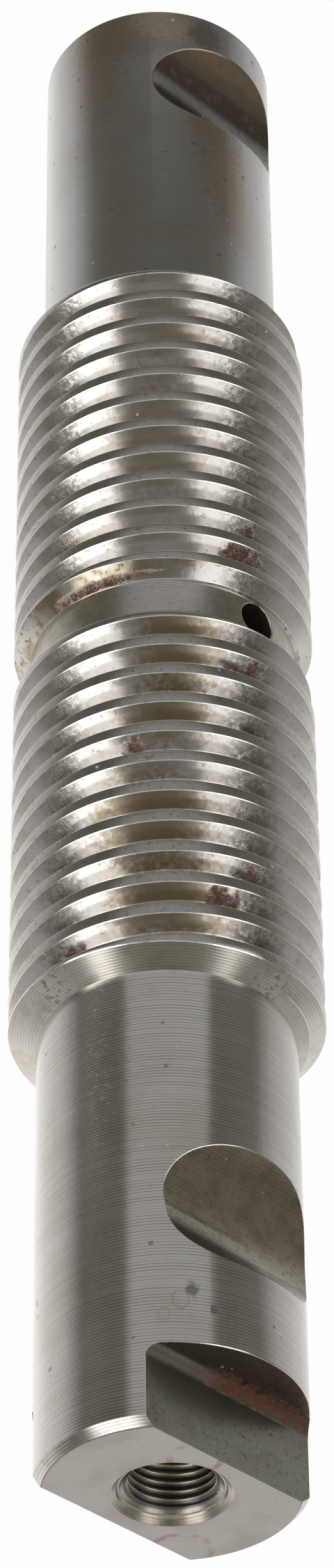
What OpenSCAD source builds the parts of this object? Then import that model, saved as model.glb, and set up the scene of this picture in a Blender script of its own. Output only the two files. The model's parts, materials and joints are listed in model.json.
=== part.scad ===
// Threaded leaf-spring pin: one turned steel bar with two plain journals, a coarse
// right-hand thread in two runs with a grease groove between them, a lock-bolt notch
// near each end, two wrench flats and a tapped grease hole in the near end.
// Frame: the pin lies along Y with its tapped end at -Y. The notches and one wrench
// flat face +Z. The origin is on the axis, halfway along. Millimetres.

/* [Bar] */
// Length from end face to end face
overall_len = 210.2; // [190:0.1:240]
// Diameter of the two plain journals
journal_d = 28.575; // [28:0.005:29]
// 45 degree chamfer on both ends
end_chamfer = 0.9; // [0.5:0.1:1.5]

/* [Thread] */
// Outside diameter of the thread
thread_d = 34.925; // [34:0.005:36]
// Threads per inch
threads_per_inch = 6; // [5:1:8]
// From the tapped end to the thread's first full diameter
thread_start = 57.3; // [54:0.1:60]
// Length of the threaded stretch, grease groove included
thread_len = 101.6; // [90:0.1:105]
// Width of the flat on the crest
crest_w = 1.4; // [1:0.05:1.6]
// Depth from crest to root
thread_depth = 1.95; // [1.6:0.05:2]
// Slope of each thread flank, from square to the axis
flank_angle = 30; // [25:1:32]
// Slope of the turned cones that end the thread, from square to the axis
runout_angle = 25; // [20:1:35]
// From the groove's middle to the next crest towards the far end, along the notch side
crest_offset = 0.8; // [0:0.05:4]

/* [Grease groove and passages] */
// Width of the groove between the crests
groove_w = 8.15; // [7:0.05:9]
// Slope of the groove's sides, from square to the axis
groove_side_angle = 40; // [30:1:45]
// Diameter of the radial hole and of the passage along the axis
grease_hole_d = 4.8; // [4:0.1:5.5]

/* [Tapped hole] */
// Wall diameter of the tapped hole, at the thread crests
tapped_d = 9.1; // [8.9:0.05:9.2]
// Depth of the tapped hole
tapped_depth = 11; // [9:0.5:14]
// Mouth diameter of the countersink
countersink_d = 12.5; // [11:0.1:13]
// Depth of the countersink
countersink_depth = 1.3; // [1:0.1:2]

/* [Wrench flats] */
// Distance across the two flats
across_flats = 16.4; // [15.8:0.1:17.5]
// Length of the flats from the end face, to the shoulder
flat_len = 9.2; // [8:0.1:11]
// Radius in the corner between flat and shoulder
flat_fillet = 1.4; // [0.8:0.1:1.6]

/* [Lock-bolt notches] */
// Diameter of the round-bottomed cut
notch_d = 15; // [14:0.1:17]
// Distance from the pin's axis to the bottom of the cut
notch_floor = 9.7; // [9:0.05:11]
// From the tapped end to the middle of the near notch
near_notch_pos = 27.5; // [25:0.1:32]
// From the far end to the middle of the far notch
far_notch_pos = 13.3; // [12:0.1:20]

/* [Hidden] */
eps = 0.05;
$fn = 96;
turn_steps = 36;
pitch = 25.4 / threads_per_inch;
journal_r = journal_d / 2;
crest_r = thread_d / 2;
root_r = crest_r - thread_depth;
thread_end = thread_start + thread_len;
runout_len = (crest_r - journal_r) * tan(runout_angle);
groove_pos = thread_start + thread_len / 2;
groove_side_run = thread_depth * tan(groove_side_angle);
sunk_depth = 0.5;
notch_axis = notch_floor + notch_d / 2;
flat_h = across_flats / 2;
drill_point = tapped_d / 2 * tan(31);

// Turns the model, drawn standing on its tapped end, so that it lies along +Y.
// In the standing drawing the notches face -Y.
module laid_down() {
    translate([0, -overall_len / 2, 0]) rotate([-90, 0, 0]) children();
}

// One helical bar of trapezoid section: the ridge that stands on the root cylinder.
module thread_ridge() {
    half_turns = ceil(thread_len / pitch / 2) + 1;
    steps = 2 * half_turns * turn_steps;
    foot_r = root_r - sunk_depth;
    half_foot = crest_w / 2 + (thread_depth + sunk_depth) * tan(flank_angle);
    section = [
        [foot_r, -half_foot], [crest_r, -crest_w / 2],
        [crest_r, crest_w / 2], [foot_r, half_foot]
    ];
    points = [
        for (i = [0:steps], s = section)
            let (turn = i / turn_steps - half_turns, a = 360 * turn - 90)
                [s[0] * cos(a), s[0] * sin(a), groove_pos + crest_offset + turn * pitch + s[1]]
    ];
    sides = [
        for (i = [0:steps - 1], k = [0:3])
            let (a = 4 * i + k, b = 4 * i + (k + 1) % 4)
                each [[a, b, b + 4], [a, b + 4, a + 4]]
    ];
    caps = [[3, 2, 1, 0], [for (k = [0:3]) 4 * steps + k]];
    polyhedron(points, concat(sides, caps), convexity = 10);
}

// The turned outline of the threaded stretch: cones at both ends and the groove.
module threaded_envelope() {
    rotate_extrude()
        polygon([
            [0, thread_start - runout_len],
            [journal_r, thread_start - runout_len],
            [crest_r, thread_start],
            [crest_r, groove_pos - groove_w / 2],
            [root_r, groove_pos - groove_w / 2 + groove_side_run],
            [root_r, groove_pos + groove_w / 2 - groove_side_run],
            [crest_r, groove_pos + groove_w / 2],
            [crest_r, thread_end],
            [journal_r, thread_end + runout_len],
            [0, thread_end + runout_len]
        ]);
}

module threaded_stretch() {
    intersection() {
        union() {
            thread_ridge();
            translate([0, 0, thread_start - pitch])
                cylinder(r = root_r, h = thread_len + 2 * pitch);
        }
        threaded_envelope();
    }
}

module plain_bar() {
    rotate_extrude()
        polygon([
            [0, 0],
            [journal_r - end_chamfer, 0],
            [journal_r, end_chamfer],
            [journal_r, overall_len - end_chamfer],
            [journal_r - end_chamfer, overall_len],
            [0, overall_len]
        ]);
}

// Countersink, tap-drilled hole with its drill point, and the passage to the cross hole.
module grease_passages() {
    translate([0, 0, -eps])
        cylinder(r = tapped_d / 2, h = tapped_depth + eps);
    translate([0, 0, -eps])
        cylinder(r1 = countersink_d / 2 + eps, r2 = tapped_d / 2, h = countersink_depth + eps);
    translate([0, 0, tapped_depth])
        cylinder(r1 = tapped_d / 2, r2 = 0, h = drill_point);
    cylinder(d = grease_hole_d, h = groove_pos + grease_hole_d / 2);
    translate([0, 0, groove_pos]) rotate([90, 0, 0])
        cylinder(d = grease_hole_d, h = crest_r + eps);
}

// The metal cut away for one wrench flat, facing -Y in the standing drawing.
module flat_cut() {
    far = journal_r + 1;
    rotate([90, 0, 90])
        translate([0, 0, -far])
            linear_extrude(2 * far)
                difference() {
                    translate([-far, -1]) square([far - flat_h, flat_len + 1]);
                    translate([-flat_h - flat_fillet, flat_len - flat_fillet])
                        difference() {
                            square([flat_fillet + eps, flat_fillet + eps]);
                            circle(r = flat_fillet, $fn = 64);
                        }
                }
}

module lock_notch(pos) {
    translate([0, -notch_axis, pos]) rotate([0, 90, 0])
        cylinder(d = notch_d, h = 2 * journal_d, center = true);
}

module spring_pin() {
    color([0.5, 0.49, 0.47]) laid_down()
        difference() {
            union() {
                plain_bar();
                threaded_stretch();
            }
            grease_passages();
            for (side = [0, 180]) rotate([0, 0, side]) flat_cut();
            lock_notch(near_notch_pos);
            lock_notch(overall_len - far_notch_pos);
        }
}

spring_pin();
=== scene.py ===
"""Looks of the threaded spring pin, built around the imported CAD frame.

The pin is one machined bar, so one mesh stands for its one CAD node. The mesh is made as the bar
is made: turned blanks, a helical thread, a turned groove, milled flats and notches, drilled and
tapped holes, and a small radius on the edges. Mesh code works in millimetres in the row frame:
the axis is Y, angles go round it from +Z towards +X, and to_mesh() scales to metres.
"""

import json
import math

import bpy
import numpy as np
from mathutils import Matrix, Vector


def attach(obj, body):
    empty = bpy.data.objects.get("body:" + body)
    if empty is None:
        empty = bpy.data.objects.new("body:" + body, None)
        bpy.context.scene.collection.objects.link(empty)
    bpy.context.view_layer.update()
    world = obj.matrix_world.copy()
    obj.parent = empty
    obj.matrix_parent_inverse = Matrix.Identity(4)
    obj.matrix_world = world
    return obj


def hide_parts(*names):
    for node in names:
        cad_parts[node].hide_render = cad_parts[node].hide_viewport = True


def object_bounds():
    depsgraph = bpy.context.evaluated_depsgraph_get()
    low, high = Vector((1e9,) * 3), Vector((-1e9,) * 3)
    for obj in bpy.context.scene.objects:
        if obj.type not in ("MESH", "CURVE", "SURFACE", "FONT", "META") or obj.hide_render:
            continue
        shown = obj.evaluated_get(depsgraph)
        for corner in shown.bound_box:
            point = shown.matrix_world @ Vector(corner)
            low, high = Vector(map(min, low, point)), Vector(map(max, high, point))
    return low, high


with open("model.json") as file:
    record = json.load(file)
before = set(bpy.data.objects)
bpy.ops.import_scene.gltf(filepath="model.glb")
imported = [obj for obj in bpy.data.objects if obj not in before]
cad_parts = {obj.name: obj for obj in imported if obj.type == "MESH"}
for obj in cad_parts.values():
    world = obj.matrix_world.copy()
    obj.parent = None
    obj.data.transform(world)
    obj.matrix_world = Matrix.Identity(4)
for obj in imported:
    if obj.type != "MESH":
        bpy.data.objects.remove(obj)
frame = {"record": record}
cad_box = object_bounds()

# ---------------------------------------------------------------- sizes, from the frame

MM = 0.001
MOUNTS = {m["name"]: m for m in frame["record"]["mounts"]}


def mount_mm(name):
    """A mount's position in millimetres."""
    return Vector(MOUNTS[name]["pos_m"]) / MM


LOW, HIGH = (corner / MM for corner in cad_box)
NEAR_END, FAR_END = LOW.y, HIGH.y
CREST_R = HIGH.x
JOURNAL_R = MOUNTS["far_journal"]["dims"]["r_mm"]
TAPPED_R = MOUNTS["grease_port"]["dims"]["r_mm"]
GROOVE_Y = mount_mm("external_thread").y
FLAT_H = mount_mm("upper_wrench_flat").z
NEAR_NOTCH = mount_mm("near_lock_notch")
FAR_NOTCH = mount_mm("far_lock_notch")

# The rest of the design's sizes, in millimetres.
PITCH = 25.4 / 6
THREAD_START = NEAR_END + 57.3
THREAD_END = THREAD_START + 101.6
THREAD_DEPTH = 1.95
ROOT_R = CREST_R - THREAD_DEPTH
CREST_W = 1.4
CREST_OFFSET = 0.8
FLANK = math.tan(math.radians(30))
RUNOUT = math.tan(math.radians(25))
GROOVE_W = 8.15
GROOVE_SIDE = math.tan(math.radians(40))
GREASE_R = 2.4
TAP_PITCH = 1.0
TAP_ROOT_R = 5.05
TAPPED_DEPTH = 11.0
SINK_R = 6.25
SINK_DEPTH = 1.3
FLAT_LEN = 9.2
FLAT_FILLET = 1.4
FLAT_EDGE_R = 0.12
NOTCH_R = 7.5
NEAR_SECOND_PASS = (1.3, 0.14)
NEAR_LIP_R = 0.12
FAR_LIP_R = 0.3
HOLE_LIP_R = 0.15
END_CHAMFER = 0.9

# How finely curves are divided: steps in one turn, except for edge radii.
ROUND_STEPS = 288
THREAD_STEPS = 160
TAPPED_STEPS = 160
TAP_STEPS = 120
NOTCH_STEPS = 160
HOLE_STEPS = 96
EDGE_STEPS = 5

# ---------------------------------------------------------------- meshes


def to_mesh(name, points, faces):
    """An object whose mesh has these points, given in millimetres."""
    mesh = bpy.data.meshes.new(name)
    mesh.from_pydata((np.asarray(points, float) * MM).tolist(), [], faces)
    mesh.validate()
    obj = bpy.data.objects.new(name, mesh)
    bpy.context.scene.collection.objects.link(obj)
    return obj


def on_ring(radius, angle, y):
    """The point at that radius and at that angle round the pin."""
    return (radius * math.sin(angle), y, radius * math.cos(angle))


def lathe(name, profile, steps=ROUND_STEPS, origin=(0, 0, 0), to_z=False):
    """A solid of revolution. The profile runs from low y to high y as (y, radius), and both ends
    are closed on the axis. With to_z its axis is Z instead of Y."""
    rings = [p for p in profile if p[1] > 0]
    angles = [2 * math.pi * i / steps for i in range(steps)]
    points = [on_ring(r, a, y) for y, r in rings for a in angles]
    faces = []
    for k in range(len(rings) - 1):
        for i in range(steps):
            j = (i + 1) % steps
            faces.append((k * steps + i, k * steps + j, (k + 1) * steps + j, (k + 1) * steps + i))
    last = (len(rings) - 1) * steps
    points += [(0, profile[0][0], 0), (0, profile[-1][0], 0)]
    low, high = len(points) - 2, len(points) - 1
    for i in range(steps):
        j = (i + 1) % steps
        faces.append((low, j, i))
        faces.append((high, last + i, last + j))
    if to_z:
        points = [(x, -z, y) for x, y, z in points]
    return to_mesh(name, np.add(points, origin), faces)


def sweep(name, sections, closed):
    """A solid through a row of cross-sections, each a list of points. It joins end to start if
    closed, and has a flat face at either end if not."""
    count, size = len(sections), len(sections[0])
    points = [p for section in sections for p in section]
    faces = []
    for i in range(count if closed else count - 1):
        here, there = i * size, (i + 1) % count * size
        for k in range(size):
            m = (k + 1) % size
            faces.append((here + k, here + m, there + m, there + k))
    if not closed:
        faces.append(tuple(reversed(range(size))))
        faces.append(tuple((count - 1) * size + k for k in range(size)))
    obj = to_mesh(name, points, faces)
    face_outwards(obj)
    return obj


def face_outwards(obj):
    """Turns a closed mesh's faces outwards, if its volume says they point in."""
    mesh = obj.data
    mesh.calc_loop_triangles()
    co = np.array([v.co for v in mesh.vertices])
    tri = np.array([t.vertices for t in mesh.loop_triangles])
    a, b, c = co[tri[:, 0]], co[tri[:, 1]], co[tri[:, 2]]
    if np.einsum("ij,ij->i", a, np.cross(b, c)).sum() < 0:
        mesh.flip_normals()


def helix(name, section, pitch, start, end, phase_y, steps):
    """A bar of the given (y offset, radius) section, wound right-handed from start to end. A crest
    passes angle 0 at phase_y."""
    first = math.floor((start - phase_y) / pitch * steps)
    last = math.ceil((end - phase_y) / pitch * steps)
    rows = []
    for i in range(first, last + 1):
        turn = i / steps
        rows.append([on_ring(r, 2 * math.pi * turn, phase_y + turn * pitch + y) for y, r in section])
    return sweep(name, rows, closed=False)


def prism(name, outline, half_width):
    """A solid between two copies of a (y, z) outline at x = -half_width and +half_width."""
    ends = [[(x, y, z) for y, z in outline] for x in (-half_width, half_width)]
    return sweep(name, ends, closed=False)


def arc(centre, radius, start, end, steps):
    """Points of an arc in a plane, with angles in degrees from the first axis to the second."""
    angles = np.radians(np.linspace(start, end, steps + 1))
    return [(centre[0] + radius * math.cos(a), centre[1] + radius * math.sin(a)) for a in angles]


def combine(obj, other, operation):
    """Unites, cuts or intersects obj with other, which is removed."""
    step = obj.modifiers.new("step", "BOOLEAN")
    step.operation = operation
    step.object = other
    step.solver = "MANIFOLD"
    graph = bpy.context.evaluated_depsgraph_get()
    done = bpy.data.meshes.new_from_object(obj.evaluated_get(graph))
    obj.modifiers.clear()
    old = obj.data
    obj.data = done
    bpy.data.meshes.remove(old)
    bpy.data.meshes.remove(other.data)
    if len(done.polygons) == 0:
        raise RuntimeError(f"{operation} left nothing of {obj.name}")


def edge_cutter(name, path, normals_a, normals_b, radius, closed):
    """What has to be cut away to put a radius on the edge along path. The normals are those of the
    two surfaces that meet there, pointing out of the metal."""
    count = len(path)
    sections = []
    for i in range(count):
        before = path[i - 1] if closed or i > 0 else path[i]
        after = path[(i + 1) % count] if closed or i < count - 1 else path[i]
        tangent = (after - before).normalized()
        a, b = normals_a[i], normals_b[i]
        out = (a + b).normalized()
        side = tangent.cross(out).normalized()
        half = a.angle(b) / 2
        lean = 1 if a.dot(side) > 0 else -1
        centre = path[i] - out * (radius / math.cos(half))
        reach = radius / math.cos(half) + 0.35
        over = half + math.radians(4)
        section = []
        for k in range(EDGE_STEPS + 1):
            turn = lean * (over - 2 * over * k / EDGE_STEPS)
            section.append(centre + (out * math.cos(turn) + side * math.sin(turn)) * radius)
        width = lean * (radius * math.sin(over) + 0.3)
        section.append(centre + out * reach - side * width)
        section.append(centre + out * reach + side * width)
        sections.append([tuple(p) for p in section])
    return sweep(name, sections, closed)


# ---------------------------------------------------------------- the bar's features


def plain_bar():
    """The turned blank: two journals with chamfered ends whose corners are a little rounded."""
    face_r = JOURNAL_R - END_CHAMFER
    near = [
        (NEAR_END, 0),
        (NEAR_END, face_r - 0.08),
        (NEAR_END + 0.05, face_r + 0.05),
        (NEAR_END + END_CHAMFER - 0.08, JOURNAL_R - 0.09),
        (NEAR_END + END_CHAMFER + 0.09, JOURNAL_R),
    ]
    far = [(-y, r) for y, r in reversed(near)]
    return lathe("spring_pin_body", near + far)


def thread_ridge():
    """The thread's ridge, with a small radius on both crest edges and a fillet at its foot."""
    edge_r, foot_r, foot_steps = 0.17, 0.22, 4
    bend = math.radians(60)
    inset = edge_r * math.tan(bend / 2)
    half = []
    for k in range(EDGE_STEPS + 1):
        turn = bend * k / EDGE_STEPS
        y = CREST_W / 2 - inset + edge_r * math.sin(turn)
        half.append((y, CREST_R - edge_r + edge_r * math.cos(turn)))
    foot_y = CREST_W / 2 + THREAD_DEPTH * FLANK
    reach = foot_r * math.tan(bend / 2)
    for k in range(foot_steps + 1):
        turn = bend * (1 - k / foot_steps)
        y = foot_y + reach - foot_r * math.sin(turn)
        half.append((y, ROOT_R + foot_r - foot_r * math.cos(turn)))
    half.append((foot_y + reach, ROOT_R - 0.4))
    section = [(-y, r) for y, r in reversed(half)] + half
    return helix(
        "thread_ridge",
        section,
        PITCH,
        THREAD_START - PITCH,
        THREAD_END + PITCH,
        GROOVE_Y + CREST_OFFSET,
        THREAD_STEPS,
    )


def threaded_outline():
    """The turned outline of the threaded stretch: a cone at each end and the grease groove."""
    buried = JOURNAL_R - 0.5
    rise = CREST_R - JOURNAL_R
    corner = 0.35

    def cone(y, outward):
        """From inside the journal up to the crest, with a fillet at the foot and a soft top."""
        foot = y + outward * rise * RUNOUT
        return [
            (foot + outward * 0.3, buried),
            (foot + outward * 0.3, JOURNAL_R),
            (foot + outward * 0.02, JOURNAL_R + 0.05),
            (foot - outward * 0.09, JOURNAL_R + 0.26),
            (y + outward * 0.12, CREST_R - 0.2),
            (y + outward * 0.04, CREST_R - 0.06),
            (y - outward * 0.1, CREST_R),
        ]

    def side(outward):
        """One side of the groove, from the crest down to the floor."""
        top = GROOVE_Y + outward * GROOVE_W / 2
        floor = top - outward * THREAD_DEPTH * GROOVE_SIDE
        points = [
            (top + outward * 0.08, CREST_R),
            (top, CREST_R - 0.03),
            (top - outward * 0.07, CREST_R - 0.13),
        ]
        bend = math.radians(50)
        reach = corner * math.tan(bend / 2)
        for k in range(EDGE_STEPS + 1):
            turn = bend * (1 - k / EDGE_STEPS)
            y = floor - outward * (reach - corner * math.sin(turn))
            points.append((y, ROOT_R + corner - corner * math.cos(turn)))
        return points

    near_cone = cone(THREAD_START, -1)
    far_cone = cone(THREAD_END, 1)[::-1]
    outline = near_cone + side(-1) + side(1)[::-1] + far_cone
    return lathe("threaded_outline", [(outline[0][0], 0)] + outline + [(outline[-1][0], 0)])


def threaded_stretch():
    """The core with its ridge, inside the turned outline."""
    core = lathe(
        "thread_core",
        [
            (THREAD_START - PITCH, 0),
            (THREAD_START - PITCH, ROOT_R),
            (THREAD_END + PITCH, ROOT_R),
            (THREAD_END + PITCH, 0),
        ],
    )
    combine(core, thread_ridge(), "UNION")
    combine(core, threaded_outline(), "INTERSECT")
    return core


def tapped_hole():
    """What the drills, the countersink and the tap take out of the near end."""
    y = NEAR_END
    drill_tip = TAPPED_R * math.tan(math.radians(31))
    hole = lathe(
        "tapped_hole",
        [
            (y - 1, 0),
            (y - 1, SINK_R + 0.09),
            (y, SINK_R + 0.07),
            (y + 0.07, SINK_R - 0.06),
            (y + 0.42, SINK_R - 0.36),
            (y + 0.5, SINK_R - 0.5),
            (y + 0.74, SINK_R - 0.66),
            (y + 0.8, SINK_R - 0.86),
            (y + SINK_DEPTH - 0.14, TAP_ROOT_R - 0.04),
            (y + SINK_DEPTH + 0.14, TAPPED_R),
            (y + TAPPED_DEPTH, TAPPED_R),
            (y + TAPPED_DEPTH + drill_tip * (1 - GREASE_R / TAPPED_R), GREASE_R),
            (GROOVE_Y, GREASE_R),
            (GROOVE_Y + 1, 0),
        ],
        steps=TAPPED_STEPS,
    )
    tooth = [(-0.47, TAPPED_R - 0.3), (-0.43, TAPPED_R + 0.02), (-0.07, TAP_ROOT_R)]
    section = tooth + [(-y, r) for y, r in reversed(tooth)]
    start = NEAR_END + 0.25
    tap = helix("tap", section, TAP_PITCH, start, start + TAPPED_DEPTH - 2, start, TAP_STEPS)
    combine(hole, tap, "UNION")
    return hole


def grease_hole():
    """The radial hole from the groove's floor down to the passage."""
    depth = [(0, 0), (0, GREASE_R), (CREST_R + 1, GREASE_R), (CREST_R + 1, 0)]
    return lathe("grease_hole", depth, steps=HOLE_STEPS, origin=(0, GROOVE_Y, 0), to_z=True)


def flat_cut(side):
    """The metal milled away for the wrench flat on the +Z side, or the -Z side for side -1."""
    shoulder = NEAR_END + FLAT_LEN
    corner = (shoulder - FLAT_FILLET, FLAT_H + FLAT_FILLET)
    outline = [(NEAR_END - 1, FLAT_H)]
    outline += arc(corner, FLAT_FILLET, -90, 0, 12)
    outline += [(shoulder, CREST_R), (NEAR_END - 1, CREST_R)]
    return prism("flat_cut", [(y, side * z) for y, z in outline], CREST_R)


def notch_cut(centre, second_pass):
    """A round-bottomed lock-bolt notch. A second pass of the same cutter, set a little nearer the
    tapped end and higher, leaves a faint crease along its floor."""
    outline = arc((centre.y, centre.z), NOTCH_R, 0, 360, NOTCH_STEPS)[:-1]
    cut = prism("notch_cut", outline, CREST_R)
    if second_pass:
        shifted = (centre.y - second_pass[0], centre.z + second_pass[1])
        nearer = arc(shifted, NOTCH_R, 0, 360, NOTCH_STEPS)[:-1]
        combine(cut, prism("second_pass", nearer, CREST_R + 1), "UNION")
    return cut


def notch_lip(centre, radius):
    """Rounds the notch's lip, where its wall meets the journal."""
    reach = math.acos((centre.z - JOURNAL_R) / NOTCH_R)
    count = 240
    path, bar, wall = [], [], []
    for k in range(count):
        turn = 2 * math.pi * k / count
        a = reach * math.cos(turn)
        z = centre.z - NOTCH_R * math.cos(a)
        x = math.copysign(math.sqrt(max(0, JOURNAL_R**2 - z * z)), math.sin(turn))
        path.append(Vector((x, centre.y + NOTCH_R * math.sin(a), z)))
        bar.append(Vector((x, 0, z)).normalized())
        wall.append(Vector((0, -math.sin(a), math.cos(a))))
    return edge_cutter("notch_lip", path, bar, wall, radius, closed=True)


def hole_lip(radius):
    """Rounds the grease hole's lip in the groove's floor."""
    path, floor, wall = [], [], []
    for k in range(HOLE_STEPS):
        a = 2 * math.pi * k / HOLE_STEPS
        x = GREASE_R * math.cos(a)
        z = math.sqrt(ROOT_R**2 - x * x)
        path.append(Vector((x, GROOVE_Y + GREASE_R * math.sin(a), z)))
        floor.append(Vector((x, 0, z)).normalized())
        wall.append(Vector((-math.cos(a), -math.sin(a), 0)))
    return edge_cutter("hole_lip", path, floor, wall, radius, closed=True)


def flat_edges(side, radius):
    """Rounds the wrench flat's edges: along the end face, up both sides and round the shoulder."""
    shoulder = NEAR_END + FLAT_LEN
    edge_x = math.sqrt(JOURNAL_R**2 - FLAT_H**2)
    straight, curved = 12, 80
    up, face = [Vector((0, 0, side))], [Vector((0, -1, 0))]
    xs = np.linspace(-edge_x - 1, edge_x + 1, straight)
    front = [Vector((x, NEAR_END, side * FLAT_H)) for x in xs]
    cutters = [edge_cutter("flat_front", front, up * straight, face * straight, radius, closed=False)]
    ys = np.linspace(NEAR_END - 1, shoulder - FLAT_FILLET, straight)
    for x in (-edge_x, edge_x):
        out = [Vector((x, 0, side * FLAT_H)).normalized()]
        run = [Vector((x, y, side * FLAT_H)) for y in ys]
        cutters.append(edge_cutter("flat_side", run, up * straight, out * straight, radius, closed=False))
    reach = math.acos((FLAT_H + FLAT_FILLET) / JOURNAL_R)
    rim = []
    for a in np.linspace(-reach, reach, curved):
        x, y, z = on_ring(JOURNAL_R, a, shoulder)
        rim.append(Vector((x, y, side * z)))
    out = [Vector((p.x, 0, p.z)).normalized() for p in rim]
    cutters.append(edge_cutter("shoulder_rim", rim, out, face * curved, radius, closed=False))
    return cutters


def spring_pin():
    """The whole pin, cut in the order in which the real one is machined."""
    pin = plain_bar()
    combine(pin, threaded_stretch(), "UNION")
    combine(pin, tapped_hole(), "DIFFERENCE")
    combine(pin, grease_hole(), "DIFFERENCE")
    for side in (1, -1):
        combine(pin, flat_cut(side), "DIFFERENCE")
        for cutter in flat_edges(side, FLAT_EDGE_R):
            combine(pin, cutter, "DIFFERENCE")
    combine(pin, notch_cut(NEAR_NOTCH, NEAR_SECOND_PASS), "DIFFERENCE")
    combine(pin, notch_cut(FAR_NOTCH, None), "DIFFERENCE")
    combine(pin, notch_lip(NEAR_NOTCH, NEAR_LIP_R), "DIFFERENCE")
    combine(pin, notch_lip(FAR_NOTCH, FAR_LIP_R), "DIFFERENCE")
    combine(pin, hole_lip(HOLE_LIP_R), "DIFFERENCE")
    return pin


# ---------------------------------------------------------------- node trees


class Graph:
    """Short calls that add nodes to one material's or the world's tree."""

    def __init__(self, tree):
        self.tree = tree
        tree.nodes.clear()

    def put(self, socket, value):
        """Links a socket to the value, or sets it if the value is a plain one."""
        if isinstance(value, bpy.types.NodeSocket):
            self.tree.links.new(value, socket)
        else:
            socket.default_value = value

    def node(self, kind, inputs=None, **settings):
        made = self.tree.nodes.new(kind)
        for key, value in settings.items():
            setattr(made, key, value)
        for key, value in (inputs or {}).items():
            self.put(made.inputs[key], value)
        return made

    def math(self, operation, *values, clamp=False):
        inputs = dict(enumerate(values))
        return self.node("ShaderNodeMath", inputs, operation=operation, use_clamp=clamp).outputs[0]

    def ramp(self, value, low, high, to_low=0.0, to_high=1.0, soft=True):
        """value's way from low to high, as to_low to to_high, clamped at both ends."""
        kind = "SMOOTHSTEP" if soft else "LINEAR"
        inputs = {"Value": value, "From Min": low, "From Max": high, "To Min": to_low, "To Max": to_high}
        return self.node("ShaderNodeMapRange", inputs, interpolation_type=kind).outputs["Result"]

    def blend(self, factor, a, b):
        """Colour a where factor is 0, and b where it is 1."""
        made = self.node("ShaderNodeMix", data_type="RGBA")
        for socket, value in ((0, factor), (6, a), (7, b)):
            self.put(made.inputs[socket], value)
        return made.outputs[2]

    def between(self, factor, a, b):
        """Number a where factor is 0, and b where it is 1."""
        return self.node("ShaderNodeMix", {0: factor, 2: a, 3: b}).outputs[0]

    def times(self, *values):
        product = values[0]
        for value in values[1:]:
            product = self.math("MULTIPLY", product, value)
        return product

    def diagonal(self, a, b):
        """The length that a and b make at right angles to each other."""
        return self.math("SQRT", self.math("ADD", self.times(a, a), self.times(b, b)))

    def combine(self, x, y, z):
        return self.node("ShaderNodeCombineXYZ", {0: x, 1: y, 2: z}).outputs[0]

    def noise(self, vector, scale, detail=3.0, rough=0.55):
        inputs = {"Vector": vector, "Scale": scale, "Detail": detail, "Roughness": rough}
        return self.node("ShaderNodeTexNoise", inputs).outputs["Fac"]


# ---------------------------------------------------------------- studio

# The studio's own axes. The studio is rolled against the row frame, because the pin lies in it with
# its notches turned to the right.
ROLL = math.radians(44.5)
RIGHT = Vector((math.cos(ROLL), 0, math.sin(ROLL)))
ALONG = Vector((0, 1, 0))
UP = Vector((-math.sin(ROLL), 0, math.cos(ROLL)))
CAMERA_FROM_NEAR_FACE = (-2.486, -235.874, 402.608)  # mm, along the studio's axes
CAMERA_PITCH = math.radians(50.744)
CAMERA_TURN = math.radians(0.483)
LENS = 104.33


def studio_vector(right, along, up):
    """A vector given along the studio's own axes."""
    return RIGHT * right + ALONG * along + UP * up


def camera():
    """The photo's camera, placed from the middle of the near end face."""
    data = bpy.data.cameras.new("camera")
    data.lens = LENS
    cam = bpy.data.objects.new("camera", data)
    bpy.context.scene.collection.objects.link(cam)
    level = math.cos(CAMERA_PITCH)
    forward = studio_vector(
        level * math.sin(CAMERA_TURN), level * math.cos(CAMERA_TURN), -math.sin(CAMERA_PITCH)
    )
    right = forward.cross(UP).normalized()
    turn = Matrix((right, right.cross(forward), -forward)).transposed().to_4x4()
    place = Vector((0, NEAR_END, 0)) + studio_vector(*CAMERA_FROM_NEAR_FACE)
    cam.matrix_world = Matrix.Translation(place * MM) @ turn
    bpy.context.scene.camera = cam


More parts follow.
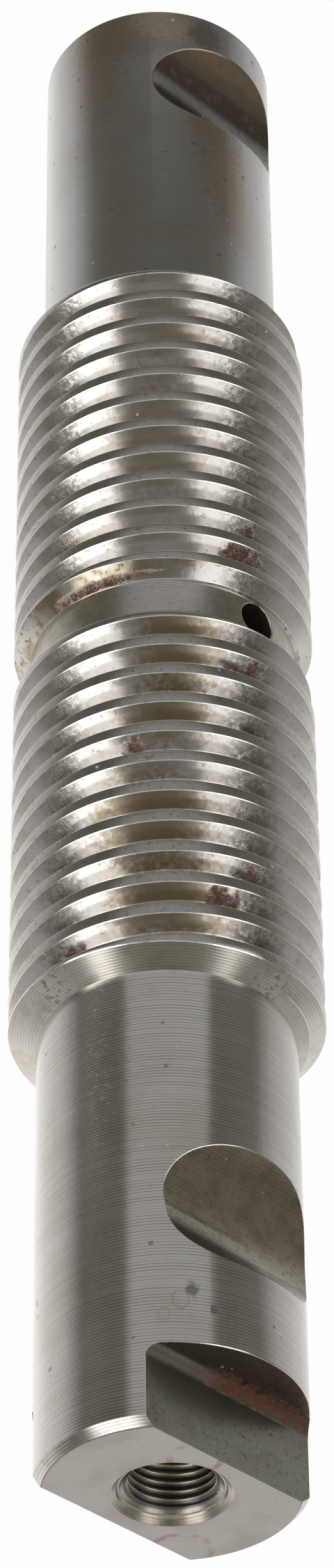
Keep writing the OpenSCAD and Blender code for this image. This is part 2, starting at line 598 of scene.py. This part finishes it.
def softboxes(g):
    """The brightness that polished steel reflects from each direction of the studio: a dim room,
    a white table below, a soft panel overhead and a tall bright one on either side."""
    direction = g.node("ShaderNodeTexCoord").outputs["Generated"]

    def part(axis):
        dot = g.node("ShaderNodeVectorMath", {0: direction, 1: axis}, operation="DOT_PRODUCT")
        return dot.outputs["Value"]

    right, along, up = part(RIGHT), part(ALONG), part(UP)
    aside = g.math("MAXIMUM", g.math("ABSOLUTE", right), 0.001)
    is_right = g.ramp(right, -0.02, 0.02)

    horizon = g.ramp(up, 0.17, -0.16, 0, 0.5, soft=False)
    behind = g.math("ADD", horizon, g.ramp(up, -0.16, -0.7, 0, 0.4, soft=False))
    front = g.math("ADD", g.ramp(up, -0.1, -0.42, 0, 0.3), g.ramp(up, -0.42, -0.8, 0, 0.2))
    table = g.between(g.ramp(along, -0.5, -0.2), front, behind)
    table = g.times(table, g.ramp(right, -0.5, 0.5, 1.2, 0.85))

    above = g.math("MAXIMUM", up, 0.001)
    over = g.times(
        g.ramp(g.math("DIVIDE", aside, above), 0.79, 0.62),
        g.ramp(g.math("DIVIDE", along, above), 1.12, 0.98),
        g.ramp(g.math("DIVIDE", along, above), -1.2, -0.9),
        g.ramp(up, 0.3, 0.4),
        0.38,
    )

    reach = g.math("DIVIDE", along, aside)
    height = g.math("DIVIDE", up, aside)
    slope = g.ramp(reach, -1.8, -0.6, -0.12, 0.36, soft=False)
    low_edge = g.math("ADD", slope, g.times(is_right, 0.12))
    low_edge = g.math("ADD", low_edge, g.ramp(reach, -2.45, -2.1, -0.45, 0))
    left_strength = g.ramp(reach, -1.0, 0.0, 2.1, 2.8)
    right_strength = g.ramp(reach, -1.0, 0.0, 1.45, 2.0)
    panel = g.times(
        g.ramp(g.math("SUBTRACT", height, low_edge), -0.05, 0.12),
        g.ramp(height, 1.95, 1.6),
        g.ramp(reach, 0.5, 0.4),
        g.ramp(reach, -3.5, -2.8),
        g.between(is_right, left_strength, right_strength),
    )
    room = g.ramp(up, 0.55, 0.15, 0.185, 0.235)
    return g.math("ADD", g.math("ADD", table, room), g.math("MAXIMUM", over, panel))


def studio_light():
    """The softboxes light and show in everything. Only the backdrop itself is plain white."""
    world = bpy.data.worlds.new("studio")
    world.use_nodes = True
    bpy.context.scene.world = world
    g = Graph(world.node_tree)
    plain = g.node("ShaderNodeBackground", {"Color": (1, 1, 1, 1), "Strength": 1.0})
    brightness = softboxes(g)
    cast = g.blend(g.ramp(brightness, 0.2, 0.42), (1, 0.955, 0.79, 1), (1, 0.985, 0.96, 1))
    boxes = g.node("ShaderNodeBackground", {"Color": cast, "Strength": brightness})
    seen = g.node("ShaderNodeLightPath").outputs["Is Camera Ray"]
    mixed = g.node("ShaderNodeMixShader", {0: seen, 1: boxes.outputs[0], 2: plain.outputs[0]})
    g.node("ShaderNodeOutputWorld", {"Surface": mixed.outputs[0]})


def table_top():
    """The pale surface that the pin lies on. Steel reflects the softboxes' white table instead."""
    half = 12.0  # m, so that its rim is out of the picture
    height = LOW.z * MM
    mesh = bpy.data.meshes.new("table_top")
    corners = [(x * half, y * half, height) for x, y in ((-1, -1), (1, -1), (1, 1), (-1, 1))]
    mesh.from_pydata(corners, [], [(0, 1, 2, 3)])
    table = bpy.data.objects.new("table_top", mesh)
    bpy.context.scene.collection.objects.link(table)
    material = bpy.data.materials.new("table_white")
    material.use_nodes = True
    g = Graph(material.node_tree)
    matt = g.node("ShaderNodeBsdfDiffuse", {"Color": (0.9, 0.9, 0.9, 1)})
    glow = g.node("ShaderNodeEmission", {"Color": (1, 1, 1, 1), "Strength": 1.0})
    white = g.node("ShaderNodeMixShader", {0: 0.97, 1: matt.outputs[0], 2: glow.outputs[0]})
    g.node("ShaderNodeOutputMaterial", {"Surface": white.outputs[0]})
    mesh.materials.append(material)
    table.visible_glossy = False


# ---------------------------------------------------------------- steel

INK = (0.012, 0.012, 0.011, 1)
RUST = (0.06, 0.015, 0.007, 1)
RUST_LIGHT = (0.24, 0.062, 0.022, 1)
OIL = (0.26, 0.205, 0.105, 1)
BRONZE = (0.33, 0.25, 0.17, 1)
REDDISH = (0.34, 0.255, 0.22, 1)
REDDISH_DARK = (0.25, 0.16, 0.135, 1)
CRUMB = (0.075, 0.06, 0.046, 1)
LINT = (0.62, 0.60, 0.56, 1)


class Steel(Graph):
    """One machined surface: its place on the pin in millimetres, and the colour, roughness and bump
    that the marks are laid onto one after the other. Angles of marks are in degrees clockwise of the
    studio's upward side, and their distances are in millimetres from the tapped end."""

    def __init__(self, name, colour, roughness):
        self.material = bpy.data.materials.new(name)
        self.material.use_nodes = True
        super().__init__(self.material.node_tree)
        place = self.node("ShaderNodeTexCoord").outputs["Object"]
        scaled = self.node("ShaderNodeVectorMath", {0: place, "Scale": 1 / MM}, operation="SCALE")
        self.place = scaled.outputs[0]
        axes = self.node("ShaderNodeSeparateXYZ", {0: self.place}).outputs
        self.x, self.y, self.z = axes[0], axes[1], axes[2]
        self.radius = self.diagonal(self.x, self.z)
        self.angle = self.math("ARCTAN2", self.x, self.z)
        self.colour, self.roughness, self.metal = colour, roughness, 1.0
        self.height = 0.0

    def stretched(self, round_scale, along_scale):
        """Coordinates for noise that is drawn out round the pin or along it."""
        return self.combine(
            self.times(self.x, round_scale),
            self.times(self.y, along_scale),
            self.times(self.z, round_scale),
        )

    def tint(self, mask, colour, roughness=None):
        self.colour = self.blend(mask, self.colour, colour)
        if roughness is not None:
            self.roughness = self.between(mask, self.roughness, roughness)

    def lift(self, amount):
        """Adds to the bump height, in millimetres."""
        self.height = self.math("ADD", self.height, amount)

    def band(self, value, centre, half, soft):
        """1 where value is within half of centre, and 0 beyond a further soft."""
        off = self.math("ABSOLUTE", self.math("SUBTRACT", value, centre))
        return self.ramp(off, half + soft, half)

    def mottle(self, scale, low, high, colour, amount, roughness=None):
        """Soft patches of another colour all over."""
        patches = self.ramp(self.noise(self.place, scale), low, high)
        self.tint(self.times(patches, amount), colour, roughness)

    def feed_lines(self, pitch, depth, share, axis=None):
        """Turning lines: a fine groove at each turn of the tool, deeper at some turns than at others."""
        axis = self.y if axis is None else axis
        wave = self.math("SINE", self.times(axis, 2 * math.pi / pitch))
        uneven = self.ramp(self.noise(self.stretched(0.02, 0.9 / pitch), 1.0, 2.0), 0.3, 0.65, 0.3, 1.0)
        streaks = self.noise(self.stretched(0.05, 3.1 / pitch), 1.0, 3.0)
        self.lift(self.times(wave, uneven, depth))
        self.lift(self.times(streaks, 0.2 * depth))
        faint = self.times(self.ramp(wave, 0.2, 1.0), uneven, share)
        self.tint(faint, self.blend(0.5, self.colour, INK))

    def aside_angle(self):
        """The angle clockwise of the studio's upward side, in degrees from -180 to 180."""
        angle = self.math("ADD", self.angle, ROLL)
        return self.times(self.math("WRAP", angle, -math.pi, math.pi), 180 / math.pi)

    def aside(self, degrees, reach):
        """1 along the line at that angle, and 0 from reach degrees away."""
        off = self.math("ABSOLUTE", self.math("SUBTRACT", self.aside_angle(), degrees))
        return self.ramp(off, reach, 0)

    def spot_distance(self, y, degrees, along, around):
        """0 in the middle of a spot that reaches along and around that far, and 1 at its edge."""
        turn = self.math("SUBTRACT", self.aside_angle(), degrees)
        off = self.times(turn, math.radians(CREST_R) / around)
        far = self.times(self.math("SUBTRACT", self.y, NEAR_END + y), 1 / along)
        return self.diagonal(off, far)

    def spot(self, y, degrees, along, around, ragged=0.5):
        """1 in the middle of that spot and 0 outside it, with a ragged edge."""
        away = self.spot_distance(y, degrees, along, around)
        uneven = self.noise(self.place, 1.3, 4.0, 0.65)
        break_up = self.times(self.math("SUBTRACT", uneven, 0.5), 2 * ragged)
        return self.ramp(self.math("ADD", away, break_up), 1.0, 0.45)

    def stains(self, places, colour, share, roughness=None):
        """Soft stains at places given as (y, degrees, along, around)."""
        for y, degrees, along, around in places:
            self.tint(self.times(self.spot(y, degrees, along, around, 0.9), share), colour, roughness)

    def rust(self, mask, grain=4.0):
        """Rust where the mask is: a stained ground with raised crumbs on it."""
        crumbs = self.ramp(self.noise(self.place, grain, 3.0, 0.7), 0.45, 0.58)
        self.tint(self.times(mask, 0.6), RUST, 0.6)
        solid = self.times(mask, crumbs)
        self.tint(solid, self.blend(self.noise(self.place, 2.2), RUST, RUST_LIGHT), 0.85)
        bare = self.math("MAXIMUM", self.times(mask, 0.5), self.times(solid, 0.96))
        self.metal = self.math("SUBTRACT", self.metal, bare, clamp=True)
        self.lift(self.times(solid, 0.05))

    def crumbs(self, scale, above, share, where):
        """Dark crumbly patches that stand a very little out of the steel."""
        grain = self.times(self.ramp(self.noise(self.place, scale, 4.0, 0.65), above, above + 0.1), where)
        self.tint(self.times(grain, share), CRUMB, 0.4)
        self.lift(self.times(grain, 0.003))

    def pits(self, spacing, density, depth, dark=0.5, where=1.0):
        """Ragged corrosion pits, one in each chosen cell of that spacing in millimetres."""
        wander = {"Vector": self.place, "Scale": 1.7 / spacing, "Detail": 3.0}
        shift = self.node("ShaderNodeTexNoise", wander).outputs["Color"]
        moved = {0: shift, 1: (0.8 * spacing,) * 3, 2: self.place}
        bent = self.node("ShaderNodeVectorMath", moved, operation="MULTIPLY_ADD")
        cells = self.node("ShaderNodeTexVoronoi", {"Vector": bent.outputs[0], "Scale": 1 / spacing})
        pick = self.node("ShaderNodeSeparateColor", {0: cells.outputs["Color"]}).outputs[0]
        chosen = self.times(self.math("LESS_THAN", pick, density), where)
        size = self.times(pick, 0.3 / density)
        hollow = self.ramp(cells.outputs["Distance"], self.math("ADD", size, 0.12), size)
        hollow = self.times(hollow, chosen)
        self.lift(self.times(hollow, -depth))
        self.tint(self.times(hollow, dark), INK, 0.5)

    def specks(self, spacing, density, colour, share=0.8):
        """Scattered lint and dried specks that lie on the steel."""
        cells = self.node("ShaderNodeTexVoronoi", {"Vector": self.place, "Scale": 1 / spacing})
        pick = self.node("ShaderNodeSeparateColor", {0: cells.outputs["Color"]}).outputs[1]
        chosen = self.math("LESS_THAN", pick, density)
        size = self.times(pick, 0.12 / density)
        grain = self.ramp(cells.outputs["Distance"], self.math("ADD", size, 0.05), size)
        self.tint(self.times(grain, chosen, share), colour, 0.6)

    def finish(self):
        """Joins everything to the shader, once the last mark is on."""
        bump = self.node(
            "ShaderNodeBump", {"Height": self.times(self.height, MM), "Strength": 1.0, "Distance": 1.0}
        )
        shader = self.node(
            "ShaderNodeBsdfPrincipled",
            {
                "Base Color": self.colour,
                "Roughness": self.roughness,
                "Metallic": self.metal,
                "Normal": bump.outputs[0],
            },
        )
        self.node("ShaderNodeOutputMaterial", {"Surface": shader.outputs[0]})
        return self.material


def near_journal():
    s = Steel("near_journal_turned", (0.51, 0.50, 0.48, 1), 0.17)
    s.mottle(0.12, 0.42, 0.7, (0.44, 0.425, 0.385, 1), 0.6)
    s.feed_lines(0.37, 0.0006, 0.95)
    s.mottle(1.6, 0.56, 0.75, (0.38, 0.34, 0.28, 1), 0.35)
    s.stains([(40, -22, 9, 4.5), (46, -30, 7, 3), (22, -34, 10, 3), (34, 9, 6, 4)], REDDISH, 0.16)
    s.stains([(15.6, 9, 1.3, 1.0), (13.4, 18, 0.9, 0.7)], INK, 0.55, 0.4)
    for y, degrees, size in ((14.3, 4, 1.3), (12.6, -3, 0.9)):
        rim = s.band(s.spot_distance(y, degrees, size, size), 0.8, 0.06, 0.12)
        s.tint(s.times(rim, 0.4), REDDISH)
    s.crumbs(1.6, 0.56, 0.2, s.spot(44, -32, 22, 7, 0.8))
    s.pits(1.1, 0.04, 0.003, 0.4)
    s.specks(1.8, 0.08, LINT, 0.9)
    return s.finish()


def far_journal():
    # Same turned steel as the near journal, given a darker base: painted shade for the dimmer reflections
    # at the far end.
    s = Steel("far_journal_painted_darker", (0.40, 0.40, 0.405, 1), 0.21)
    s.mottle(0.1, 0.4, 0.7, (0.35, 0.335, 0.31, 1), 0.6)
    s.feed_lines(0.3, 0.0004, 0.3)
    s.stains([(190, 26, 8, 4), (183, 34, 11, 5), (177, 42, 11, 5)], BRONZE, 0.45)
    s.stains([(206, -18, 6, 14), (199, -34, 13, 5)], BRONZE, 0.45)
    s.stains([(205.5, 16, 3.5, 6), (207.5, 4, 3.5, 7)], (0.52, 0.46, 0.38, 1), 0.6)
    s.stains([(206, 26, 3.0, 3.5)], (0.20, 0.21, 0.21, 1), 0.7)
    s.mottle(1.1, 0.6, 0.78, (0.27, 0.24, 0.20, 1), 0.4)
    s.pits(1.0, 0.06, 0.01, 0.5)
    s.specks(1.9, 0.12, LINT, 0.9)
    return s.finish()


# Rust on the thread's flanks, as (distance from the tapped end, degrees, size).
FLANK_RUST = [
    (115.4, 31, 2.2), (115.0, 39, 2.0), (97.9, 38, 2.2), (96.6, 30, 1.6),
    (88.6, 41, 1.8), (67.9, 36, 2.4), (63.6, 27, 1.8), (64.4, 20, 1.6),
    (85.0, -12, 1.6), (58.9, -40, 1.8), (119.8, 38, 1.2), (143.0, -44, 1.4),
]


def flanks():
    s = Steel("thread_flank", (0.53, 0.52, 0.505, 1), 0.16)
    s.mottle(0.25, 0.45, 0.72, (0.44, 0.405, 0.355, 1), 0.6)
    s.stains([(64, 2, 8, 9), (75, -6, 8, 9), (90, 2, 6, 7), (100, 6, 8, 7)], OIL, 0.65, 0.25)
    s.stains([(132, -2, 13, 8), (150, 6, 7, 7)], OIL, 0.35, 0.25)
    s.mottle(1.4, 0.55, 0.75, (0.31, 0.28, 0.215, 1), 0.32, 0.22)
    s.lift(s.times(s.noise(s.place, 0.8, 3.0, 0.55), 0.009))
    # Dark crumbs and extra pits are laid at the two angles where the flanks reflect the dim room: painted
    # shade, over the real dark patches there.
    painted_shade_angles = s.math("ADD", s.aside(-44, 14), s.aside(36, 16))
    s.crumbs(1.7, 0.44, 0.7, painted_shade_angles)
    s.crumbs(1.1, 0.6, 0.35, 1.0)
    s.pits(0.55, 0.1, 0.02, 0.55, s.math("ADD", s.times(painted_shade_angles, 0.8), 0.12))
    for y, degrees, size in FLANK_RUST:
        s.rust(s.spot(y, degrees, size, size, 0.9))
    s.specks(1.3, 0.07, LINT, 0.9)
    return s.finish()


def crests():
    s = Steel("thread_crest", (0.38, 0.37, 0.345, 1), 0.24)
    s.mottle(0.5, 0.5, 0.7, (0.31, 0.295, 0.255, 1), 0.6)
    s.feed_lines(0.24, 0.0009, 0.35)
    s.mottle(2.4, 0.56, 0.72, (0.21, 0.185, 0.155, 1), 0.5)
    s.crumbs(1.6, 0.58, 0.5, 1.0)
    s.specks(1.5, 0.1, LINT, 0.8)
    return s.finish()


def painted_highlight_edges():
    # The rounded edges get a much brighter base than the steel beside them: a painted highlight along the
    # edges, with a real dirt mottle over it.
    s = Steel("painted_highlight_edge", (0.70, 0.69, 0.67, 1), 0.2)
    s.mottle(0.8, 0.52, 0.7, (0.42, 0.39, 0.34, 1), 0.7)
    s.lift(s.times(s.noise(s.place, 2.5, 2.0), 0.006))
    return s.finish()


def cone_steel():
    s = Steel("cone_turned", (0.54, 0.52, 0.48, 1), 0.18)
    s.mottle(0.4, 0.5, 0.7, (0.40, 0.36, 0.29, 1), 0.5)
    s.feed_lines(0.32, 0.0018, 0.5, s.radius)
    # Dark crumbs only at the two side angles where the cone reflects the dim room: painted shade, drawn
    # as crumbs.
    s.crumbs(1.4, 0.52, 0.6, s.math("ADD", s.aside(-50, 20), s.aside(45, 20)))
    s.specks(1.5, 0.1, LINT, 0.8)
    return s.finish()


def groove_floor():
    s = Steel("groove_floor_turned", (0.47, 0.46, 0.44, 1), 0.24)
    # The floor is tinted a darker olive towards both sides, from about 17 to 30 degrees away from the
    # studio's upward side.
    sides = s.ramp(s.math("ABSOLUTE", s.aside_angle()), 17, 30)
    olive_at_sides = s.times(sides, s.ramp(s.noise(s.place, 0.9), 0.3, 0.6, 0.3, 0.8))
    s.tint(olive_at_sides, (0.33, 0.30, 0.23, 1))
    s.feed_lines(0.38, 0.0016, 0.5)
    s.mottle(1.5, 0.55, 0.72, (0.30, 0.27, 0.21, 1), 0.45)
    s.specks(1.4, 0.1, LINT, 0.9)
    return s.finish()


def groove_bevel():
    s = Steel("groove_bevel_turned", (0.52, 0.495, 0.45, 1), 0.17)
    s.mottle(0.35, 0.38, 0.66, OIL, 0.75)
    s.lift(s.times(s.noise(s.place, 0.8, 3.0, 0.55), 0.009))
    s.crumbs(1.4, 0.55, 0.6, 1.0)
    lower = s.ramp(s.radius, ROOT_R + 1.1, ROOT_R + 0.3)
    for degrees in (-44, -36, -28, -20, -11, -3):
        s.rust(s.times(s.spot(111.2, degrees, 1.2, 2.4, 0.9), lower))
    s.specks(1.3, 0.08, LINT, 0.9)
    return s.finish()


def end_face_steel():
    s = Steel("end_face_ground", (0.485, 0.455, 0.435, 1), 0.36)
    s.mottle(0.22, 0.42, 0.68, (0.40, 0.365, 0.335, 1), 0.6, 0.42)
    s.mottle(1.3, 0.58, 0.75, (0.44, 0.36, 0.335, 1), 0.4)
    s.feed_lines(0.5, 0.0005, 0.1, s.radius)
    for x, z, size in ((-3.2, 6.6, 2.6), (8.6, -7.4, 3.2)):
        off_x = s.math("SUBTRACT", s.x, x)
        off_z = s.math("SUBTRACT", s.z, z)
        near_ring = s.band(s.diagonal(off_x, off_z), size, 0.12, 0.4)
        ring = s.times(near_ring, s.ramp(s.noise(s.place, 0.5), 0.38, 0.55))
        s.tint(s.times(ring, 0.55), REDDISH_DARK)
    s.crumbs(1.9, 0.62, 0.25, 1.0)
    return s.finish()


def countersink_steel():
    s = Steel("countersink_turned", (0.40, 0.375, 0.325, 1), 0.27)
    s.mottle(0.7, 0.42, 0.66, (0.28, 0.24, 0.18, 1), 0.5)
    s.feed_lines(0.35, 0.0015, 0.4, s.radius)
    return s.finish()


def chamfer_steel():
    s = Steel("end_chamfer_turned", (0.50, 0.49, 0.47, 1), 0.2)
    s.feed_lines(0.24, 0.006, 0.8)
    s.mottle(0.8, 0.5, 0.7, (0.36, 0.33, 0.28, 1), 0.6)
    return s.finish()


def wrench_flats():
    s = Steel("flat_milled", (0.285, 0.29, 0.26, 1), 0.3)
    s.mottle(0.3, 0.42, 0.68, (0.235, 0.225, 0.17, 1), 0.7)
    towards_shoulder = s.ramp(s.y, NEAR_END + 2.0, NEAR_END + FLAT_LEN, 0.0, 0.6)
    s.tint(towards_shoulder, (0.165, 0.15, 0.115, 1))
    s.feed_lines(0.5, 0.0009, 0.2)
    s.mottle(1.6, 0.56, 0.7, (0.15, 0.13, 0.10, 1), 0.5, 0.45)
    fillet = s.band(s.y, NEAR_END + FLAT_LEN - 0.5, 0.35, 0.55)
    low = s.ramp(s.z, FLAT_H + 2.3, FLAT_H + 1.2, 0.12, 1.0)
    rusted = s.times(fillet, low, s.ramp(s.x, -5.0, 0.0), s.ramp(s.noise(s.place, 0.9), 0.38, 0.52))
    stained = s.times(fillet, s.ramp(s.x, -8.0, 0.0), 0.65)
    s.tint(stained, (0.075, 0.03, 0.018, 1), 0.45)
    s.rust(rusted, 2.6)
    s.crumbs(1.5, 0.56, 0.5, 1.0)
    s.specks(1.5, 0.08, LINT, 0.8)
    return s.finish()


def near_notch_steel():
    s = Steel("near_notch_milled", (0.265, 0.24, 0.18, 1), 0.27)
    from_middle = s.math("SUBTRACT", s.y, NEAR_NOTCH.y)
    turn = s.math("ARCTAN2", from_middle, s.math("SUBTRACT", NEAR_NOTCH.z, s.z))
    round_floor = s.times(turn, NOTCH_R)
    s.mottle(0.4, 0.4, 0.68, (0.19, 0.165, 0.12, 1), 0.75)
    # A pale band low on the near wall of the notch: a painted reflection.
    pale = s.band(s.y, NEAR_NOTCH.y - 2.5, 0.75, 0.5)
    s.tint(s.times(pale, 0.6), (0.43, 0.41, 0.36, 1), 0.26)
    s.feed_lines(0.45, 0.003, 0.4, round_floor)
    # A dark strip along the near lip, on one half of the notch: painted shade.
    dark = s.times(s.band(s.y, NEAR_NOTCH.y - 5.2, 0.8, 0.6), s.ramp(s.x, 2.0, -3.0))
    s.tint(s.times(dark, 0.35), INK)
    s.mottle(1.8, 0.58, 0.72, (0.12, 0.095, 0.07, 1), 0.5)
    s.crumbs(1.5, 0.54, 0.35, 1.0)
    s.specks(0.8, 0.22, (0.50, 0.42, 0.31, 1), 0.9)
    return s.finish()


def far_notch_steel():
    s = Steel("far_notch_milled", (0.19, 0.165, 0.135, 1), 0.24)
    # A pale grey band low in the notch: a painted reflection.
    s.tint(s.times(s.band(s.y, FAR_NOTCH.y + 0.4, 0.9, 1.2), 0.9), (0.30, 0.305, 0.305, 1))
    # A dark band across the far wall: painted shade.
    s.tint(s.times(s.band(s.y, FAR_NOTCH.y + 3.1, 0.8, 1.3), 0.85), (0.06, 0.046, 0.036, 1), 0.32)
    s.tint(s.times(s.band(s.y, FAR_NOTCH.y + 6.5, 0.3, 1.2), 0.5), BRONZE)
    s.feed_lines(0.6, 0.0006, 0.15)
    s.mottle(1.0, 0.5, 0.7, (0.16, 0.12, 0.09, 1), 0.5)
    s.specks(1.6, 0.1, LINT, 0.6)
    return s.finish()


def tapped_steel():
    s = Steel("tapped_hole", (0.17, 0.17, 0.17, 1), 0.3)
    s.mottle(0.6, 0.42, 0.68, (0.11, 0.10, 0.085, 1), 0.6)
    # The tap's crests inside the dark hole get a bright yellowish colour: a painted highlight.
    painted_highlight_tips = s.ramp(s.radius, TAPPED_R + 0.1, TAPPED_R + 0.02)
    s.tint(s.times(painted_highlight_tips, 0.95), (0.80, 0.70, 0.44, 1), 0.3)
    s.lift(s.times(s.noise(s.place, 2.2, 4.0), 0.006))
    return s.finish()


def bore_steel():
    s = Steel("bore", (0.42, 0.39, 0.33, 1), 0.3)
    s.mottle(0.7, 0.42, 0.64, (0.12, 0.075, 0.045, 1), 0.8, 0.45)
    s.lift(s.times(s.noise(s.place, 1.6, 4.0), 0.01))
    s.crumbs(1.5, 0.52, 0.5, 1.0)
    return s.finish()


MAKERS = {
    "near_journal": near_journal,
    "far_journal": far_journal,
    "flank": flanks,
    "crest": crests,
    "painted_highlight_edge": painted_highlight_edges,
    "cone": cone_steel,
    "groove_floor": groove_floor,
    "groove_bevel": groove_bevel,
    "end_face": end_face_steel,
    "countersink": countersink_steel,
    "chamfer": chamfer_steel,
    "flat": wrench_flats,
    "near_notch": near_notch_steel,
    "far_notch": far_notch_steel,
    "tapped": tapped_steel,
    "bore": bore_steel,
}


# How near a face's middle has to be to a turned surface, in millimetres, and how squarely the face
# has to look away from the axis, to be part of that surface.
NEAR = 0.02
SQUARELY = 0.97


def thread_zone(y, radius, outward):
    """The surface of the threaded stretch that holds this point. Outward is the normal's share that
    points away from the axis."""
    from_groove = abs(y - GROOVE_Y)
    bevel = GROOVE_W / 2 - (CREST_R - radius) * GROOVE_SIDE
    floor_half = GROOVE_W / 2 - THREAD_DEPTH * GROOVE_SIDE
    if y < THREAD_START - NEAR or y > THREAD_END + NEAR:
        return "cone"
    if radius > CREST_R - NEAR and outward > SQUARELY:
        return "crest"
    if abs(from_groove - bevel) < 0.06 and 0.5 < outward < 0.9:
        return "groove_bevel"
    if from_groove < floor_half + 0.3 and radius < ROOT_R + 0.15:
        return "groove_floor"
    # The rounded crest edges take the brightened edge steel, a painted highlight.
    if radius > CREST_R - 0.15 and outward > 0.55:
        return "painted_highlight_edge"
    return "flank"


def zone_of(centre, normal):
    """The surface that a face belongs to, from its middle and its normal."""
    y, radius = centre.y, math.hypot(centre.x, centre.z)
    outward = (normal.x * centre.x + normal.z * centre.z) / max(radius, 1e-6)
    from_near = y - NEAR_END
    from_end = min(from_near, FAR_END - y)
    faces_end = normal.y * math.copysign(1, y)
    cone_reach = (CREST_R - JOURNAL_R) * RUNOUT + 0.3
    if abs(normal.y) > 0.99 and from_end < 0.1:
        return "end_face"
    if radius < SINK_R + 0.1 and from_near < SINK_DEPTH - 0.1:
        return "countersink"
    if radius < TAP_ROOT_R + 0.1 and from_near < 1.5 * TAPPED_DEPTH:
        return "tapped"
    if THREAD_START - cone_reach < y < THREAD_END + cone_reach and radius > JOURNAL_R + NEAR:
        return thread_zone(y, radius, outward)
    if abs(y - GROOVE_Y) < GREASE_R + 0.5:
        return "bore"
    if abs(radius - JOURNAL_R) < NEAR and outward > SQUARELY:
        return "near_journal" if y < GROOVE_Y else "far_journal"
    if from_end < END_CHAMFER + 0.1 and outward > 0.5 and faces_end > 0.02:
        return "chamfer"
    # The rounded lips at the near end take the brightened edge steel, a painted highlight.
    if radius > JOURNAL_R - 0.13 and outward > 0.2 and y < GROOVE_Y:
        return "painted_highlight_edge"
    if abs(y - NEAR_NOTCH.y) < NOTCH_R:
        return "near_notch"
    return "far_notch" if abs(y - FAR_NOTCH.y) < NOTCH_R else "flat"


def dress(pin):
    """Gives every face the look of its zone, and smooth shading but for the real edges and the
    borders of the flat faces, which would otherwise look domed."""
    flat_enough = 0.9995
    sharp_angle = math.radians(24)
    pin.data.materials.clear()
    zones = list(MAKERS)
    for zone in zones:
        pin.data.materials.append(MAKERS[zone]())
    plane_edges, other_edges = set(), set()
    for face in pin.data.polygons:
        zone = zone_of(face.center / MM, face.normal)
        face.material_index = zones.index(zone)
        on_end = zone == "end_face" and abs(face.normal.y) > flat_enough
        on_flat = zone == "flat" and abs(face.normal.z) > flat_enough
        (plane_edges if on_end or on_flat else other_edges).update(face.edge_keys)
    pin.data.shade_smooth()
    pin.data.set_sharp_from_angle(angle=sharp_angle)
    borders = plane_edges & other_edges
    for edge in pin.data.edges:
        if edge.key in borders:
            edge.use_edge_sharp = True


pin = spring_pin()
dress(pin)
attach(pin, "root")
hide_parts("spring_pin")

table_top()
studio_light()
camera()
bpy.context.scene.view_settings.view_transform = "Standard"
